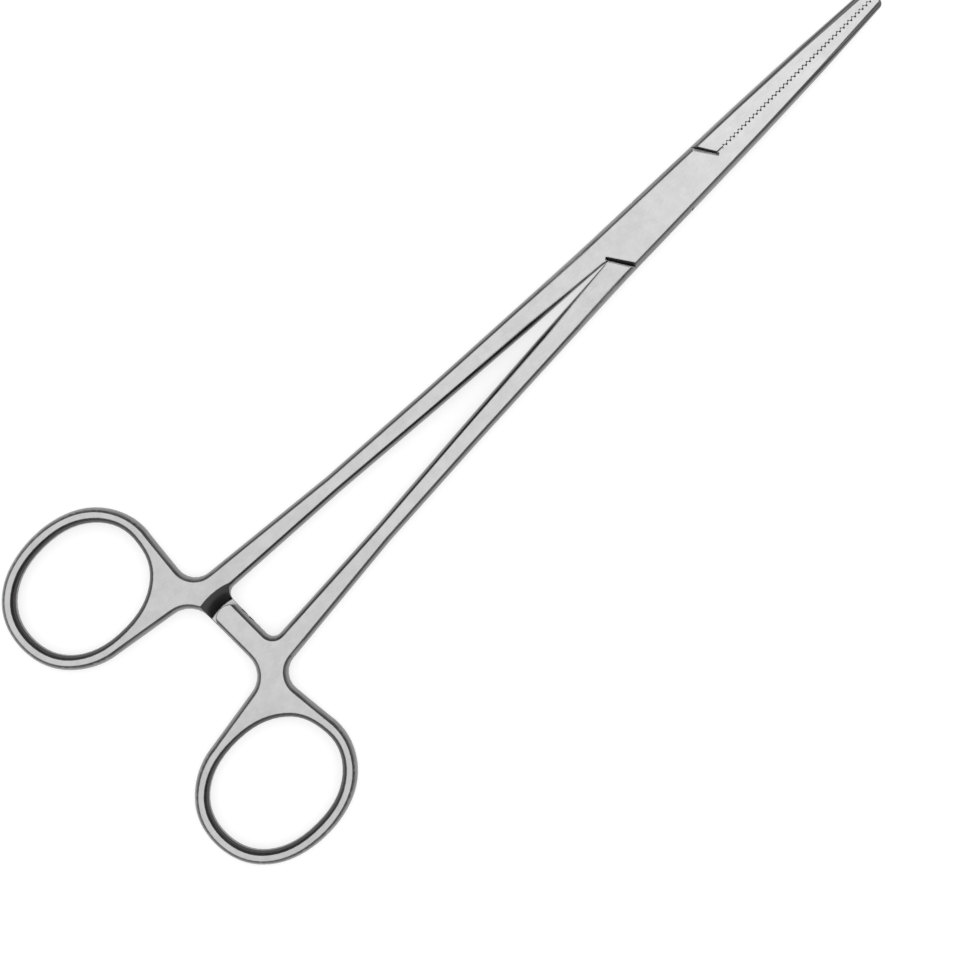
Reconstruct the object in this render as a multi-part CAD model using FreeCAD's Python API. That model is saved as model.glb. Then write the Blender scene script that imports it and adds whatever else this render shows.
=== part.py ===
import FreeCAD, Part
import math
import os

from FreeCAD import Vector

# Straight surgical clamp with a box lock: two forged steel halves and one riveted pin.
# X runs from the pin to the jaw tips, Y across the clamp, Z along the pin.
# The origin is on the underside of the box lock, on the axis of the pin.
# The female half has its finger ring at +Y and its jaw at -Y. The male half has them the
# other way round and passes through the slot in the female half.
# The shapes are built about the middle plane of the clamp and lifted at the end.
# All sizes are in millimetres and all angles in degrees.

# Places along the handles. The bars carry the finger rings behind them and the roots of the
# shanks in front of them.
bar_distance = 111.35
bar_to_ring = 15.75
bar_to_root = 7.35
ring_distance = bar_distance + bar_to_ring
root_distance = bar_distance - bar_to_root

# Finger rings
ring_spread = 51.3
ring_hole_length = 26.5
ring_hole_width = 21.4
ring_squareness = 2.2
ring_band = 2.9
handle_thickness = 4.2
side_bulge = 0.9
ring_outline_steps = 10
ring_hole_steps = 12
ring_hole_bands = 3

# Shanks
root_offset = 8.45
root_width = 4.83
waist_distance = 80.0
waist_width = 3.8
middle_distance = 56.0
middle_width = 4.24
shoulder_distance = 33.0
shoulder_width = 4.74
shank_bow = 0.37
neck_lean = 5.8
neck_radius = 4.0
heel_lean = 9.1
heel_radius = 5.0
throat_radius = 1.8

# Ratchet bars, which lie one above the other
bar_width = 5.5
bar_reach = 4.8
bar_end_margin = 0.05
bar_clearance = 0.1
ramp_edge = 8.0
ramp_radius = 13.0
ramp_run = 3.0
tooth_pitch = 2.0
tooth_depth = 0.8
tooth_count = 3

# Box lock
box_width = 9.24
box_thickness = 5.0
box_bulge = 1.0
crotch_distance = 14.2
crotch_width = 10.0
tenon_thickness = 2.4
tenon_clearance = 0.05
lock_clearance = 0.05
step_angle = 58.0
step_gap = 0.12
cheek_bevel_outer = 0.9
cheek_bevel_inner = 0.5
cheek_bevel_angle = 48.0
cheek_bevel_overrun = 0.45
shoulder_bevel = 0.28
shoulder_bevel_angle = 45.0
opening_angle = 60.0
stop_margin = 0.35

# Pin
pin_diameter = 3.2
pin_head_diameter = 4.2
pin_head_depth = 0.5
pin_clearance = 0.03

# Jaws
jaw_length = 56.6
jaw_middle_width = 7.52
jaw_tip_width = 4.56
jaw_tip_thickness = 2.8
jaw_taper_start = 6.0
tip_radius = 1.0
jaw_bow = 0.05
serration_start = 16.2
serration_end = 55.4
serration_pitch = 1.0
serration_crest = 0.2

# Half sizes, limits and lengths of cutters
handle_half = handle_thickness / 2
box_half = box_thickness / 2
tip_start = jaw_length - tip_radius
beyond = box_width
above = box_thickness
hole_overrun = 1.1


def smooth_value(points, x):
    """Value at x of the smooth curve through a few (x, value) points."""
    total = 0.0
    for here, value in points:
        share = value
        for other, _ in points:
            if other != here:
                share *= (x - other) / (here - other)
        total += share
    return total


def direction(heading):
    """Unit vector along a heading, in radians from +X."""
    return Vector(math.cos(heading), math.sin(heading), 0)


def inward(heading):
    """Unit vector to the left of a heading. Outlines are walked with the metal on their left."""
    return Vector(-math.sin(heading), math.cos(heading), 0)


# An outline is a list of runs: lines, arcs and smooth curves, or one smooth loop. A run is its
# kind and a list of (point, heading) samples. Moving every sample to its left gives the outline
# of the same shape at another height of the rounded side.


def run_edge(run, inset, height):
    """Edge of one run, moved inwards by inset and up to a height."""
    kind, samples = run
    points = [point + inward(heading) * inset + Vector(0, 0, height) for point, heading in samples]
    if kind == "line":
        return Part.LineSegment(*points).toShape()
    if kind == "arc":
        start, end = points
        first, last = [heading for _, heading in samples]
        reach = start.distanceToPoint(end) / 3 / math.cos((last - first) / 4) ** 2
        pulls = [start + direction(first) * reach, end - direction(last) * reach]
        curve = Part.BezierCurve()
        curve.setPoles([start, *pulls, end])
        return curve.toShape()
    following = samples[1:]
    if kind == "loop":
        following.append(samples[0])
    times = [0]
    for (before, _), (after, _) in zip(samples, following):
        times.append(times[-1] + before.distanceToPoint(after))
    curve = Part.BSplineCurve()
    curve.interpolate(Points=points, Parameters=times, PeriodicFlag=kind == "loop")
    return curve.toShape()


def outline_wire(runs, inset, height):
    """Closed wire of an outline. Where its ends lie apart, a straight edge joins them."""
    edges = [run_edge(run, inset, height) for run in runs]
    last = edges[-1].valueAt(edges[-1].LastParameter)
    first = edges[0].valueAt(edges[0].FirstParameter)
    if last.distanceToPoint(first) > 0.001:
        edges.append(Part.LineSegment(last, first).toShape())
    return Part.Wire(edges)


def level_wire(runs, height, side):
    """Wire of an outline at a height. A side of 1 draws it in along a parabola, -1 widens it."""
    return outline_wire(runs, side * side_bulge * (height / handle_half) ** 2, height)


def rounded_plate(runs):
    """Flat plate of an outline with rounded sides."""
    wires = [level_wire(runs, height, 1) for height in (-handle_half, 0, handle_half)]
    return Part.makeLoft(wires, True, False)


def straight_run(start, end):
    """Straight run between two points."""
    heading = math.atan2(end.y - start.y, end.x - start.x)
    return "line", [(start, heading), (end, heading)]


def turn_run(centre, radius, first, last):
    """Arc about a centre from one heading to another, outside corner or inside corner."""
    side = 1 if last < first else -1
    samples = [(centre + inward(heading) * side * radius, heading) for heading in (first, last)]
    return "arc", samples


def corner_run(point, first, target, last, radius):
    """Arc that fills the inside corner between a line through point and one through target."""
    across = direction(first).cross(direction(last)).z
    along = (target - point).cross(direction(last)).z / across
    corner = point + direction(first) * along
    start = corner - direction(first) * radius * math.tan((first - last) / 2)
    return turn_run(start - inward(first) * radius, radius, first, last)


def signed_power(value, power):
    """Power of a value's size, with the value's sign."""
    return math.copysign(abs(value) ** power, value)


def ring_turn(heading):
    """Place round the ring, as an angle, where its outline has a given heading."""
    outward = inward(heading) * -1
    power = ring_squareness / (2 * ring_squareness - 2)
    across = signed_power(outward.y * ring_hole_width, power)
    along = signed_power(outward.x * ring_hole_length, power)
    return math.atan2(across, along)


def ring_sample(turn, band):
    """Sample at a place round the ring, on a line parallel to its hole.

    The hole is a superellipse, which is an ellipse where the squareness is 2.
    """
    power = 2 / ring_squareness
    x = signed_power(math.cos(turn), power) * ring_hole_length / 2
    y = signed_power(math.sin(turn), power) * ring_hole_width / 2
    across = signed_power(math.sin(turn), 2 - power) / ring_hole_width
    along = signed_power(math.cos(turn), 2 - power) / ring_hole_length
    heading = math.atan2(along, -across)
    centre = Vector(-ring_distance, ring_spread / 2, 0)
    return centre + Vector(x, y, 0) - inward(heading) * band, heading


def ring_run(first, last, count):
    """Run round the outside of a finger ring from one heading to another."""
    start = ring_turn(first)
    end = ring_turn(last)
    step = (end - start) % math.radians(360) / count
    return "curve", [ring_sample(start + step * index, ring_band) for index in range(count + 1)]


def shank_centre(x):
    """Middle line of the female shank: nearly straight, bowed a little towards the axis."""
    share = (x + crotch_distance) / (crotch_distance - root_distance)
    start = crotch_width / 4
    return start + (root_offset - start) * share - 4 * shank_bow * share * (1 - share)


def shank_width(x):
    """Width of a shank, narrowest at its waist."""
    stations = [
        (-crotch_distance, crotch_width / 2),
        (-shoulder_distance, shoulder_width),
        (-middle_distance, middle_width),
        (-waist_distance, waist_width),
        (-root_distance, root_width),
    ]
    return smooth_value(stations, x)


def shank_edge_point(x, side):
    """Point on the outer (side 1) or inner (side -1) edge of the female shank."""
    return Vector(x, shank_centre(x) + side * shank_width(x) / 2, 0)


def shank_root(side):
    """Point on a shank edge at its root, and the heading from the waist to there."""
    point = shank_edge_point(-root_distance, side)
    step = point - shank_edge_point(-waist_distance, side)
    return point, math.atan2(step.y, step.x)


def ends(run):
    """First and last point of a run."""
    return run[1][0][0], run[1][-1][0]


def linked(runs):
    """The same runs with a straight run in each space between two of them."""
    chain = [runs[0]]
    for run in runs[1:]:
        before = ends(chain[-1])[1]
        after = ends(run)[0]
        if before.distanceToPoint(after) > 0.001:
            chain.append(straight_run(before, after))
        chain.append(run)
    return chain


def handle_outline():
    """Outline of finger ring and ratchet bar of the female half, and of the shank's root."""
    neck = math.radians(90 - neck_lean)
    heel = math.radians(360 - heel_lean)
    down = math.radians(270)
    up = math.radians(90)
    root_outer, outward = shank_root(1)
    root_inner, away = shank_root(-1)
    homeward = away - math.pi
    start = root_outer - direction(outward) * root_width
    finish = root_inner + direction(homeward) * root_width
    bar_outer = Vector(-bar_distance - bar_width / 2, -bar_reach, 0)
    bar_inner = Vector(-bar_distance + bar_width / 2, -bar_reach, 0)
    bar_end = Vector(-bar_distance, -bar_reach, 0)
    ring = ring_run(neck, heel, ring_outline_steps)
    ring_start, ring_end = ends(ring)
    neck_corner = corner_run(root_outer, outward, ring_start, neck, neck_radius)
    heel_corner = corner_run(ring_end, heel, bar_outer, down, heel_radius)
    bar_round = turn_run(bar_end, bar_width / 2, down, up + math.radians(360))
    throat = corner_run(bar_inner, up, root_inner, homeward, throat_radius)
    first = straight_run(start, ends(neck_corner)[0])
    last = straight_run(ends(throat)[1], finish)
    return linked([first, neck_corner, ring, heel_corner, bar_round, throat, last])


def ring_hole():
    """Cutter of the finger hole, which widens towards both faces in narrow straight bands."""
    turns = [math.radians(360 * index / ring_hole_steps) for index in range(ring_hole_steps)]
    loop = "loop", [ring_sample(turn, 0) for turn in turns]
    band_height = handle_half * hole_overrun / ring_hole_bands
    levels = range(-ring_hole_bands, ring_hole_bands + 1)
    wires = [level_wire([loop], level * band_height, -1) for level in levels]
    return Part.makeLoft(wires, True, True)


def bar_end_cutter():
    """Everything past the round end of the ratchet bar."""
    radius = bar_width / 2 + bar_end_margin
    centre = Vector(-bar_distance, -bar_reach + radius, 0)
    corner = centre + Vector(-bar_width, -2 * bar_width, -above)
    block = Part.makeBox(2 * bar_width, 2 * bar_width, 2 * above, corner)
    return block.cut(Part.makeCylinder(radius, 2 * above, centre - Vector(0, 0, above)))


def ratchet_cutter():
    """Upper layer that is milled off the bar, ending in a ramp, and the saw teeth below it."""
    level = -bar_clearance / 2
    rise = handle_half - level
    slope = ramp_run / rise
    foot = Vector(-bar_distance, ramp_edge - ramp_radius, level)
    cutter = Part.makeCone(ramp_radius - ramp_run, ramp_radius + slope * rise, 2 * rise, foot)
    for index in range(tooth_count):
        face = (index + 1 - tooth_count) * tooth_pitch
        corners = [
            Vector(-bar_distance - bar_width, face, level),
            Vector(-bar_distance - bar_width, face, level - tooth_depth),
            Vector(-bar_distance - bar_width, face + tooth_pitch, level),
        ]
        notch = Part.Face(Part.makePolygon(corners + corners[:1]))
        cutter = cutter.fuse(notch.extrude(Vector(2 * bar_width, 0, 0)))
    return cutter


def handle():
    """Finger ring and ratchet bar of the female half, up to the root of the shank."""
    plate = rounded_plate(handle_outline())
    length = ring_distance + ring_hole_length
    corner = Vector(-root_distance - length, -ring_spread, -above)
    plate = plate.common(Part.makeBox(length, 3 * ring_spread, 2 * above, corner))
    return plate.cut([ring_hole(), bar_end_cutter(), ratchet_cutter()])


def section_wire(x, low, high, half, low_bulge, high_bulge):
    """Closed section across the clamp: flat above and below, its two sides rounded or straight."""
    corners = [
        Vector(x, low + low_bulge, -half),
        Vector(x, high - high_bulge, -half),
        Vector(x, high - high_bulge, half),
        Vector(x, low + low_bulge, half),
    ]
    bottom = Part.LineSegment(corners[0], corners[1]).toShape()
    top = Part.LineSegment(corners[2], corners[3]).toShape()
    high_side = side_edge(corners[1], Vector(x, high, 0), corners[2], high_bulge)
    low_side = side_edge(corners[3], Vector(x, low, 0), corners[0], low_bulge)
    return Part.Wire([bottom, high_side, top, low_side])


def side_edge(start, middle, end, bulge):
    """Side of a section: a parabola through its middle, or straight where it has no bulge."""
    if bulge == 0:
        return Part.LineSegment(start, end).toShape()
    curve = Part.BezierCurve()
    curve.setPoles([start, middle * 2 - (start + end) / 2, end])
    return curve.toShape()


def shank_section(x, share):
    """Section of the female shank. A share above 0 takes it towards the box lock."""
    half = handle_half + (box_half - handle_half) * share ** 2 * (3 - 2 * share)
    low = shank_edge_point(x, -1).y + lock_clearance * share
    high = shank_edge_point(x, 1).y
    low_bulge = side_bulge * (1 - share)
    high_bulge = side_bulge + (box_bulge - side_bulge) * share
    return section_wire(x, low, high, half, low_bulge, high_bulge)


def shank(plate):
    """Shank in straight tapers, from the cut end of the handle's plate to the shoulder."""
    end = max(plate.Faces, key=lambda face: face.CenterOfMass.x)
    by_height = sorted(end.Edges, key=lambda edge: edge.CenterOfMass.z)
    by_width = sorted(end.Edges, key=lambda edge: edge.CenterOfMass.y)
    wires = [Part.Wire([by_height[0], by_width[-1], by_height[-1], by_width[0]])]
    for distance in [waist_distance, middle_distance, shoulder_distance]:
        wires.append(shank_section(-distance, 0))
    return Part.makeLoft(wires, True, True)


def shoulder():
    """Thickening end of the shank, from the shoulder to the crotch of the shanks."""
    wires = []
    steps = 4
    for step in range(steps + 1):
        share = step / steps
        x = -shoulder_distance + (shoulder_distance - crotch_distance) * share
        wires.append(shank_section(x, share))
    return Part.makeLoft(wires, True, False)


def front_half_width(x):
    """Half the width of the closed box lock and jaws."""
    stations = [
        (-crotch_distance, crotch_width / 2),
        (0, box_width / 2),
        (tip_start / 2, jaw_middle_width / 2),
        (tip_start, jaw_tip_width / 2),
    ]
    return smooth_value(stations, x)


def front_half_thickness(x):
    """Half the thickness of box lock and jaws, which thin out along a parabola to the tips."""
    if x < jaw_taper_start:
        return box_half
    share = (x - jaw_taper_start) / (tip_start - jaw_taper_start)
    return box_half - (box_half - jaw_tip_thickness / 2) * share ** 2


def front_section(x, scale, offset):
    """Section of the closed box lock and jaws, scaled down where the tips round off."""
    width = front_half_width(x) * scale
    half = front_half_thickness(x) * scale
    bulge = box_bulge * scale
    return section_wire(x + offset, -width, width, half, bulge, bulge)


def front_loft(start, end, steps):
    """Stretch of the closed box lock and jaws between two places, in straight steps."""
    places = [start + (end - start) * step / steps for step in range(steps + 1)]
    return Part.makeLoft([front_section(x, 1, 0) for x in places], True, True)


def closed_front():
    """Box lock and jaws of both halves together, before they are parted."""
    box = front_loft(-crotch_distance, jaw_taper_start, 1)
    jaws = front_loft(jaw_taper_start, tip_start, 3)
    rounds = []
    for turn in range(0, 91, 30):
        angle = math.radians(turn)
        drop = tip_radius * (1 - math.cos(angle))
        scale = 1 - drop / (jaw_tip_width / 2)
        rounds.append(front_section(tip_start, scale, tip_radius * math.sin(angle)))
    return box.fuse([jaws, Part.makeLoft(rounds, True, False)])


def prism(points, low, high):
    """Upright prism over a polygon of (x, y) points."""
    corners = [Vector(x, y, low) for x, y in points]
    return Part.Face(Part.makePolygon(corners + corners[:1])).extrude(Vector(0, 0, high - low))


def jaw_gap(x):
    """Half the space between the closed jaws, a little wider at their middle."""
    share = (x - crotch_distance) / (jaw_length - crotch_distance)
    return lock_clearance + 4 * jaw_bow * share * (1 - share)


def jaw_line(side):
    """Biting edge of the female (side -1) or male (side 1) jaw, from the box to past the tip.

    The serrations are 90 degree grooves with blunt crests. Grooves and crests take turns every
    half pitch, and each groove of one jaw faces a crest of the other.
    """
    flat = serration_crest / 2
    depth = serration_pitch / 2 - flat
    crest = (depth - flat) / 2
    root = depth - crest
    count = int((serration_end - serration_start) / serration_pitch)
    first = serration_start + serration_pitch / 2
    last = first + (count - 1) * serration_pitch
    points = [(first - root, 0)]
    for index in range(2 * count - 1):
        x = first + index * serration_pitch / 2
        if (index % 2 == 0) == (side < 0):
            points.append((x, side * root))
        else:
            points += [(x - flat, -side * crest), (x + flat, -side * crest)]
    points.append((last + root, 0))
    return [(x, y + side * jaw_gap(x)) for x, y in points]


def step_x(y, shift):
    """Where the step at the jaw end of the box lies for a given y. A shift moves it outwards."""
    turn = math.radians(step_angle)
    return crotch_distance - (y + lock_clearance) / math.tan(turn) + shift / math.sin(turn)


def turned(points):
    """The same points turned half round the pin."""
    return [(-x, -y) for x, y in points]


def female_region():
    """Plan of everything in front of the crotch that is female at the faces."""
    far = jaw_length + beyond
    upper_step = [(step_x(beyond, 0), beyond), (crotch_distance, -lock_clearance)]
    jaw = jaw_line(-1) + [(far, -jaw_gap(jaw_length)), (far, -beyond)]
    shank = [(-crotch_distance, beyond)]
    return turned(upper_step) + shank + upper_step + jaw


def male_jaw_region():
    """Plan of the male jaw, in front of its shoulder."""
    far = jaw_length + beyond
    start = [(crotch_distance, lock_clearance), (crotch_distance, male_step_foot())]
    ends = [(step_x(beyond, step_gap), beyond), (far, beyond), (far, jaw_gap(jaw_length))]
    return start + ends + jaw_line(1)[::-1]


def male_step_foot():
    """Where the male shoulder meets the plane across the inner end of the step."""
    return step_gap / math.cos(math.radians(step_angle)) - lock_clearance


def male_wedge_region():
    """Plan of the end of the male shank that runs past the crotch up to the step."""
    points = [
        (crotch_distance, male_step_foot()),
        (step_x(beyond, step_gap), beyond),
        (crotch_distance, beyond),
    ]
    return turned(points)


def slot_region(clearance):
    """Plan of the slanting slot through the box, or of the tenon with a clearance of its own.

    The slot's walls run from the crotch to the side of the box. The tenon's flank meets the
    outer end of a wall when the clamp is fully open.
    """
    stop = box_width / 2 * math.tan(math.radians(opening_angle / 2)) + stop_margin
    along_x = crotch_distance - stop
    along_y = front_half_width(-stop)
    wall = [
        (-crotch_distance - along_x, clearance - along_y),
        (-crotch_distance + 2 * along_x, clearance + 2 * along_y),
    ]
    return wall + turned(wall)


def step_wedge(y, shift, side, width, angle):
    """Triangle across a step at y that bevels its upper edge. Side 1 bevels the cheek."""
    turn = math.radians(step_angle)
    out = Vector(math.sin(turn), math.cos(turn), 0) * side
    edge = Vector(step_x(y, shift), y, box_half)
    slope = math.tan(math.radians(angle))
    return [
        edge - out * 2 * width + Vector(0, 0, width * slope),
        edge + out * width / 4 - Vector(0, 0, width * slope * 5 / 4),
        edge + out * width / 4 + Vector(0, 0, width * slope),
    ]


def step_bevels(shift, side, outer_width, inner_width, angle):
    """Cutters of the bevels along both steps, above and below."""
    outer = step_wedge(beyond, shift, side, outer_width, angle)
    inner = step_wedge(-cheek_bevel_overrun, shift, side, inner_width, angle)
    outlines = [outer, inner]
    for index in range(3):
        following = (index + 1) % 3
        outlines.append([outer[index], outer[following], inner[following], inner[index]])
    faces = [Part.Face(Part.makePolygon(corners + corners[:1])) for corners in outlines]
    first = Part.Solid(Part.Shell(faces))
    below = first.mirror(Vector(0, 0, 0), Vector(0, 0, 1))
    cutters = [first, below]
    for cutter in [first, below]:
        other = cutter.copy()
        other.rotate(Vector(0, 0, 0), Vector(0, 0, 1), 180)
        cutters.append(other)
    return cutters


def pin(margin):
    """Rivet through the box lock with countersunk heads ground flush, or its bore."""
    radius = pin_diameter / 2 + margin
    head = pin_head_diameter / 2 + margin
    profile = [
        Vector(0, 0, -box_half),
        Vector(head, 0, -box_half),
        Vector(radius, 0, -box_half + pin_head_depth),
        Vector(radius, 0, box_half - pin_head_depth),
        Vector(head, 0, box_half),
        Vector(0, 0, box_half),
    ]
    face = Part.Face(Part.makePolygon(profile + profile[:1]))
    return face.revolve(Vector(0, 0, 0), Vector(0, 0, 1), 360)


def female_half(back, front):
    """Half with the slotted box: shank and ring at +Y, jaw at -Y."""
    slot_half = tenon_thickness / 2 + tenon_clearance
    slot = prism(slot_region(lock_clearance), -slot_half, slot_half)
    body = front.common(prism(female_region(), -above, above)).cut(slot)
    body = body.fuse(back)
    bevels = step_bevels(0, 1, cheek_bevel_outer, cheek_bevel_inner, cheek_bevel_angle)
    return body.cut(bevels + [pin(0)]).removeSplitter()


def male_half(back, front):
    """Half with the tenon that passes through the box: jaw at +Y, shank and ring at -Y."""
    other_back = back.copy()
    other_back.rotate(Vector(0, 0, 0), Vector(1, 0, 0), 180)
    tenon_half = tenon_thickness / 2
    tenon = prism(slot_region(-lock_clearance), -tenon_half, tenon_half)
    jaw = prism(male_jaw_region(), -above, above)
    wedge = prism(male_wedge_region(), -above, above)
    body = front.common(jaw.fuse([wedge, tenon]))
    body = body.fuse(other_back)
    bevels = step_bevels(step_gap, -1, shoulder_bevel, shoulder_bevel, shoulder_bevel_angle)
    return body.cut(bevels + [pin(pin_clearance)]).removeSplitter()


def build():
    """All pieces in place, by name."""
    plate = handle()
    back = plate.fuse([shank(plate), shoulder()])
    front = closed_front()
    pieces = {
        "female_half": female_half(back, front),
        "male_half": male_half(back, front),
        "box_lock_pin": pin(0),
    }
    for piece in pieces.values():
        piece.translate(Vector(0, 0, box_half))
    return pieces


def main():
    os.makedirs("parts", exist_ok=True)
    for name, piece in build().items():
        solid = piece.Solids[0]
        print(name, len(piece.Solids), "solid, valid:", solid.isValid(), round(solid.Volume, 1), "mm3")
        solid.exportStep("parts/" + name + ".step")


main()
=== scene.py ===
import math

import bpy
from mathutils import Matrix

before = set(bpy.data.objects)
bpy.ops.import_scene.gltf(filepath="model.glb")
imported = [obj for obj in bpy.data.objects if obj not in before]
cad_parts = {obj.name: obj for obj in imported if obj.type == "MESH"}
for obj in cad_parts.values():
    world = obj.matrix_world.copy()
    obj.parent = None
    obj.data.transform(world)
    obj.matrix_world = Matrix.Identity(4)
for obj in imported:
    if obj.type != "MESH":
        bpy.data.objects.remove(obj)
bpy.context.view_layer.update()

# Camera: straight down on the lying clamp, jaws towards the upper right, sensor in millimetres
camera_height = 0.4
middle_height = 0.0025
view_centre = (-0.0600, -0.0149)
view_turn = 44.8
view_width = 0.18375
sensor_width = 36

# Steel: tone of the flats, painted shade on the bevels, the rounded sides, the edges and the
# serration roots, and a painted highlight on the front bevels of the box lock
flat_tone = 0.6
painted_slope_shade = 0.14
painted_step_highlight = 0.55
painted_ratchet_shade = 0.08
painted_edge_shade = 0.05
painted_side_shade = 0.205
painted_root_shade = 0.04
flat_roughness = 0.3
side_roughness = 0.26
step_roughness = 0.7

# Where the tone and the painted shade change, by how far the surface faces up or down: 0 on a
# wall, 1 on a flat
flat_levels = (0.93, 0.985)
slope_levels = (0.64, 0.66)
side_levels = (0.48, 0.57)
hole_levels = (0.2, 0.45)

# Zones of the steel along the clamp, for the painted shade and highlight and for the rounding of
# the edges
ratchet_front = -0.1
crotch_start = -0.045
crotch_end = -0.0155
crotch_half_width = 0.004
lock_start = -0.016
lock_end = 0.0155
bevel_facing = (0.3, 0.45)
zone_blend = 0.001
serration_start = 0.0162
serration_end = 0.0554
serration_pitch = 0.001
serration_half_width = 0.001
root_distance = 0.0002
lower_root_radius = 0.00016
upper_root_radius = 0.00011
root_softness = 1.5
hole_centre = (0.1271, 0.02565, 0)
hole_half_length = 0.01325
hole_half_width = 0.0107
hole_wall_end = (1.11, 1.13)

# Rounding of the edges
edge_radius = 0.0003
crotch_edge_radius = 0.0006
pin_edge_end = 0.0027
rounding_samples = 8

# Ground surface: a grain along the clamp, a mottle and wide clouds, as shares of the tone
grain_stretch = (900, 5200, 5200)
grain_detail = 3
grain_share = 0.045
mottle_scale = 420
mottle_detail = 4
mottle_share = 0.05
cloud_scale = 90
cloud_detail = 2
cloud_share = 0.04
roughness_share = 0.13
pattern_range = (0.25, 0.75)
bump_strength = 0.25
bump_depth = 0.00002

# Light: levels overhead towards the jaws and the rings, and near the horizon on two sides
front_light = 1.29
rear_light = 0.81
pale_side = 1.1
dark_side = 0.68
pale_side_turn = 45
side_range = (-0.1, 0.9)
overhead_range = (0.35, 0.85)
jaws_range = (-0.5, 0.5)
white = (1, 1, 1, 1)

# Floor
floor_colour = (0.55, 0.55, 0.55, 1)
floor_glow = 0.63
floor_half_width = 30
floor_drop = 0.00002


def new_material(name):
    """Empty node material with its tree and output."""
    material = bpy.data.materials.new(name)
    material.use_nodes = True
    tree = material.node_tree
    tree.nodes.clear()
    output = tree.nodes.new("ShaderNodeOutputMaterial")
    return material, tree, output


def add_node(tree, kind, settings=None, inputs=None):
    """New node with some of its settings and inputs given. An input may be a socket to link."""
    node = tree.nodes.new("ShaderNode" + kind)
    for key, value in (settings or {}).items():
        setattr(node, key, value)
    for key, value in (inputs or {}).items():
        if isinstance(value, bpy.types.NodeSocket):
            tree.links.new(value, node.inputs[key])
        else:
            node.inputs[key].default_value = value
    return node


def math_node(tree, operation, first, second=0):
    """Output of a math node on one or two values or sockets."""
    return add_node(tree, "Math", {"operation": operation}, {0: first, 1: second}).outputs[0]


def vector_node(tree, operation, first, second=(0, 0, 0)):
    """Output of a vector math node on one or two vectors or sockets."""
    settings = {"operation": operation}
    return add_node(tree, "VectorMath", settings, {0: first, 1: second}).outputs["Vector"]


def ramp(tree, factor, low, high, to_low, to_high):
    """Value that runs smoothly from to_low to to_high as the factor runs from low to high."""
    node = add_node(tree, "MapRange", {"interpolation_type": "SMOOTHSTEP"}, {
        "Value": factor,
        "From Min": low,
        "From Max": high,
        "To Min": to_low,
        "To Max": to_high,
    })
    return node.outputs["Result"]


def blended(tree, share, first, second):
    """First value where the share is 0, second where it is 1."""
    return add_node(tree, "Mix", None, {"Factor": share, "A": first, "B": second}).outputs[0]


def varied(tree, value, pattern, share):
    """A value raised and lowered by a share of itself, by a pattern that is 0.5 on average."""
    factor = ramp(tree, pattern, *pattern_range, 1 - share, 1 + share)
    return math_node(tree, "MULTIPLY", value, factor)


def noise(tree, vector, scale, detail):
    """Output of a noise texture."""
    inputs = {"Vector": vector, "Scale": scale, "Detail": detail}
    return add_node(tree, "TexNoise", None, inputs).outputs[0]


def between(tree, value, start, end):
    """One where the value is between two limits, zero elsewhere."""
    above = ramp(tree, value, start - zone_blend, start, 0, 1)
    below = ramp(tree, value, end, end + zone_blend, 1, 0)
    return math_node(tree, "MULTIPLY", above, below)


def zone(tree, along, aside, start, end, half_width):
    """One in a strip along the middle line of the clamp, zero elsewhere."""
    lengthways = between(tree, along, start, end)
    sideways = between(tree, aside, -half_width, half_width)
    return math_node(tree, "MULTIPLY", lengthways, sideways)


def length(tree, vector):
    """Length of a vector."""
    return add_node(tree, "VectorMath", {"operation": "LENGTH"}, {0: vector}).outputs["Value"]


def rounding_radius(tree, place, along, aside):
    """Radius of the edges: large between the shanks, none at the serrations and the flush pin."""
    from_pin = length(tree, vector_node(tree, "MULTIPLY", place, (1, 1, 0)))
    radius = ramp(tree, from_pin, pin_edge_end, pin_edge_end + edge_radius, 0, edge_radius)
    crotch = zone(tree, along, aside, crotch_start, crotch_end, crotch_half_width)
    radius = blended(tree, crotch, radius, crotch_edge_radius)
    jaws = zone(tree, along, aside, serration_start, serration_end, serration_half_width)
    return blended(tree, jaws, radius, 0)


def hole_share(tree, place):
    """One on the walls of the finger holes, zero elsewhere. Both holes are folded onto one."""
    offset = vector_node(tree, "SUBTRACT", vector_node(tree, "ABSOLUTE", place), hole_centre)
    factors = (1 / hole_half_length, 1 / hole_half_width, 0)
    distance = length(tree, vector_node(tree, "MULTIPLY", offset, factors))
    return ramp(tree, distance, *hole_wall_end, 1, 0)


def step_share(tree, along, facing):
    """One on the bevels of the box lock that face one way along the clamp, zero elsewhere."""
    turned = ramp(tree, facing, *bevel_facing, 0, 1)
    return math_node(tree, "MULTIPLY", between(tree, along, lock_start, lock_end), turned)


def painted_root_shade_share(tree, along, aside, shift, side, radius):
    """One at the roots of the serrations on one side of the middle line, zero elsewhere. Painted
    shade goes there.
    """
    from_start = math_node(tree, "SUBTRACT", along, serration_start)
    turns = math_node(tree, "ADD", math_node(tree, "DIVIDE", from_start, serration_pitch), shift)
    centred = math_node(tree, "SUBTRACT", math_node(tree, "FRACT", turns), 0.5)
    offset = add_node(tree, "CombineXYZ", None, {
        "X": math_node(tree, "MULTIPLY", centred, serration_pitch),
        "Y": math_node(tree, "SUBTRACT", aside, side * root_distance),
    })
    distance = length(tree, offset.outputs[0])
    near = ramp(tree, distance, radius, root_softness * radius, 1, 0)
    return math_node(tree, "MULTIPLY", near, between(tree, along, serration_start, serration_end))


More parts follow.
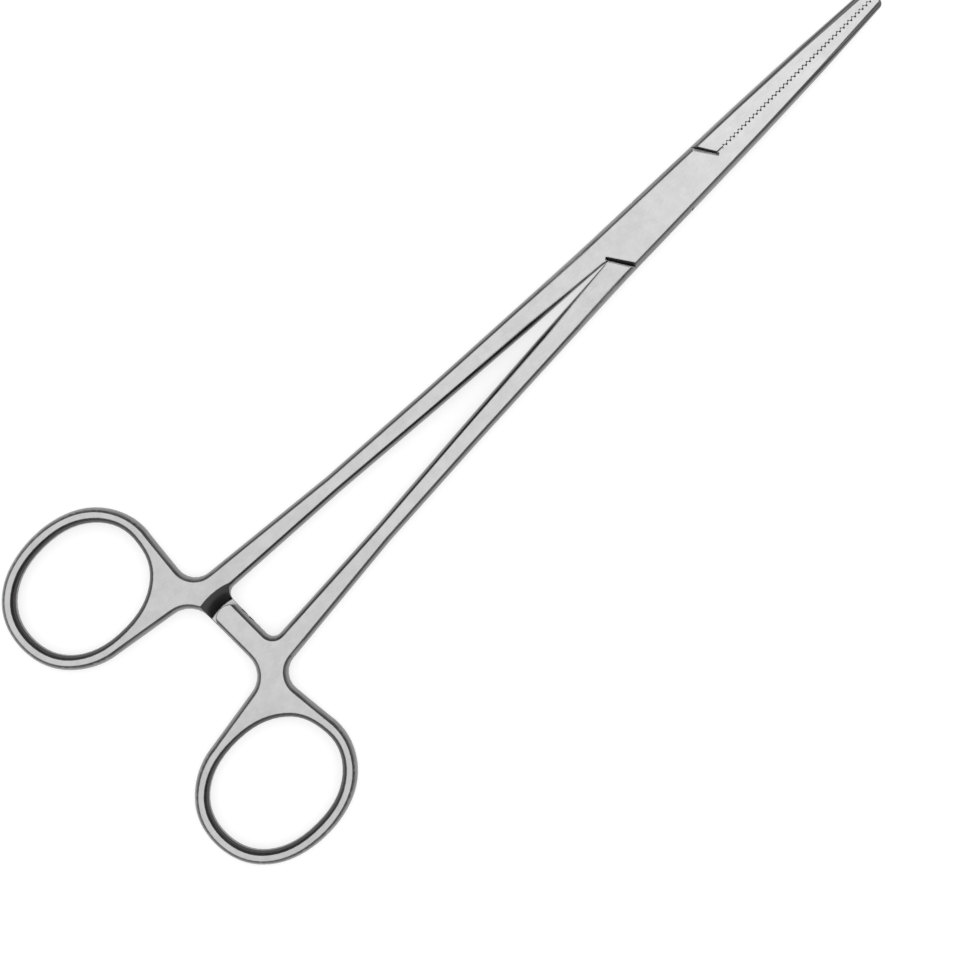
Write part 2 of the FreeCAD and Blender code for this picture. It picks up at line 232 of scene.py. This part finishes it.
def tone_with_painted_light(tree, place, along, aside, level, front, rear, flatness):
    """Tone by the way the surface faces: pale flats, with painted shade that darkens the edges,
    the serration roots and the sides, and a painted highlight on the front bevels of the box lock.
    """
    # Painted shade: the rounded sides and the finger-hole walls darker than the flats, and a
    # painted dark line where they meet the flats
    side = ramp(tree, level, *side_levels, painted_side_shade, painted_edge_shade)
    hole = ramp(tree, level, *hole_levels, painted_side_shade, painted_edge_shade)
    tone = blended(tree, hole_share(tree, place), side, hole)
    # Painted shade: dark bevels, darker still on the ramp of the ratchet
    slope = ramp(tree, along, ratchet_front - zone_blend, ratchet_front, painted_ratchet_shade, painted_slope_shade)
    tone = blended(tree, ramp(tree, level, *slope_levels, 0, 1), tone, slope)
    # Painted highlight on the box-lock bevels that face the jaws, painted shade on those that face
    # the rings
    tone = blended(tree, front, tone, painted_step_highlight)
    tone = blended(tree, rear, tone, painted_edge_shade)
    tone = blended(tree, flatness, tone, flat_tone)
    # Painted shade at the roots of the serrations
    lower = painted_root_shade_share(tree, along, aside, 0, -1, lower_root_radius)
    upper = painted_root_shade_share(tree, along, aside, 0.5, 1, upper_root_radius)
    return blended(tree, math_node(tree, "MAXIMUM", lower, upper), tone, painted_root_shade)


def steel_material():
    """Satin stainless steel: pale ground flats with a fine grain, and painted shade on the rounded
    sides and edges.
    """
    material, tree, output = new_material("satin_steel_with_painted_light")
    place = add_node(tree, "TexCoord").outputs["Object"]
    along, aside, _ = add_node(tree, "SeparateXYZ", None, {0: place}).outputs
    radius = rounding_radius(tree, place, along, aside)
    bevel = add_node(tree, "Bevel", {"samples": rounding_samples}, {"Radius": radius})
    rounded = bevel.outputs[0]
    local = add_node(tree, "VectorTransform", {
        "vector_type": "NORMAL",
        "convert_from": "WORLD",
        "convert_to": "OBJECT",
    }, {"Vector": rounded}).outputs[0]
    forward, _, height = add_node(tree, "SeparateXYZ", None, {0: local}).outputs
    backward = math_node(tree, "MULTIPLY", forward, -1)
    level = math_node(tree, "ABSOLUTE", height)
    flatness = ramp(tree, level, *flat_levels, 0, 1)
    # Masks of the box-lock bevels that face the jaws and the rings, for the painted highlight and
    # the painted shade
    front = step_share(tree, along, forward)
    rear = step_share(tree, along, backward)
    grain = noise(tree, vector_node(tree, "MULTIPLY", place, grain_stretch), 1, grain_detail)
    mottle = noise(tree, place, mottle_scale, mottle_detail)
    cloud = noise(tree, place, cloud_scale, cloud_detail)
    # Colour with painted shade and a painted highlight, set by facing and zone
    tone = tone_with_painted_light(tree, place, along, aside, level, front, rear, flatness)
    tone = varied(tree, tone, mottle, mottle_share)
    tone = varied(tree, tone, cloud, cloud_share)
    tone = varied(tree, tone, grain, grain_share)
    colour = add_node(tree, "CombineColor", None, {"Red": tone, "Green": tone, "Blue": tone})
    spread = blended(tree, flatness, side_roughness, flat_roughness)
    spread = blended(tree, front, spread, step_roughness)
    bump = add_node(tree, "Bump", None, {
        "Strength": bump_strength,
        "Distance": bump_depth,
        "Height": grain,
        "Normal": rounded,
    })
    shader = add_node(tree, "BsdfPrincipled", None, {
        "Base Color": colour.outputs[0],
        "Metallic": 1,
        "Roughness": varied(tree, spread, mottle, roughness_share),
        "Normal": bump.outputs[0],
    })
    tree.links.new(shader.outputs[0], output.inputs["Surface"])
    return material


def background_rays(tree):
    """One where a ray comes from the camera or off metal or glass, zero elsewhere."""
    path = add_node(tree, "LightPath")
    seen = math_node(tree, "MAXIMUM", path.outputs["Is Camera Ray"], path.outputs["Is Glossy Ray"])
    return math_node(tree, "MAXIMUM", seen, path.outputs["Is Transmission Ray"])


def floor_material():
    """White floor that keeps the shadow of the clamp."""
    material, tree, output = new_material("pale_floor")
    diffuse = add_node(tree, "BsdfDiffuse", None, {"Color": floor_colour})
    glow = add_node(tree, "Emission", None, {
        "Color": white,
        "Strength": math_node(tree, "MULTIPLY", background_rays(tree), floor_glow),
    })
    both = add_node(tree, "AddShader", None, {0: diffuse.outputs[0], 1: glow.outputs[0]})
    tree.links.new(both.outputs[0], output.inputs["Surface"])
    return material


def make_floor():
    """Large floor just under the clamp."""
    half = floor_half_width
    mesh = bpy.data.meshes.new("floor")
    corners = [(-half, -half, 0), (half, -half, 0), (half, half, 0), (-half, half, 0)]
    mesh.from_pydata(corners, [], [(0, 1, 2, 3)])
    floor = bpy.data.objects.new("floor", mesh)
    floor.location.z = -floor_drop
    mesh.materials.append(floor_material())
    bpy.context.scene.collection.objects.link(floor)


def make_world():
    """Soft studio light: overhead it is brighter over the jaws, and lower down on one side."""
    world = bpy.data.worlds.new("studio")
    bpy.context.scene.world = world
    world.use_nodes = True
    tree = world.node_tree
    tree.nodes.clear()
    output = tree.nodes.new("ShaderNodeOutputWorld")
    direction = add_node(tree, "TexCoord").outputs["Generated"]
    along, _, height = add_node(tree, "SeparateXYZ", None, {0: direction}).outputs
    turn = math.radians(pale_side_turn)
    towards = (math.cos(turn), math.sin(turn), 0)
    facing = add_node(tree, "VectorMath", {"operation": "DOT_PRODUCT"}, {0: direction, 1: towards})
    low = ramp(tree, facing.outputs["Value"], *side_range, dark_side, pale_side)
    high = ramp(tree, along, *jaws_range, rear_light, front_light)
    strength = blended(tree, ramp(tree, height, *overhead_range, 0, 1), low, high)
    sky = add_node(tree, "Background", None, {"Color": white, "Strength": strength})
    tree.links.new(sky.outputs[0], output.inputs["Surface"])


def make_camera():
    """Camera above the clamp, turned so that the jaws point to the upper right."""
    data = bpy.data.cameras.new("camera")
    camera = bpy.data.objects.new("camera", data)
    bpy.context.scene.collection.objects.link(camera)
    camera.location = (*view_centre, middle_height + camera_height)
    camera.rotation_euler = (0, 0, -math.radians(view_turn))
    data.sensor_width = sensor_width
    data.lens = sensor_width * camera_height / view_width
    bpy.context.scene.camera = camera


steel = steel_material()
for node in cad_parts.values():
    node.data.materials.clear()
    node.data.materials.append(steel)
    for polygon in node.data.polygons:
        polygon.use_smooth = True

make_floor()
make_world()
make_camera()
bpy.context.scene.view_settings.view_transform = "Standard"
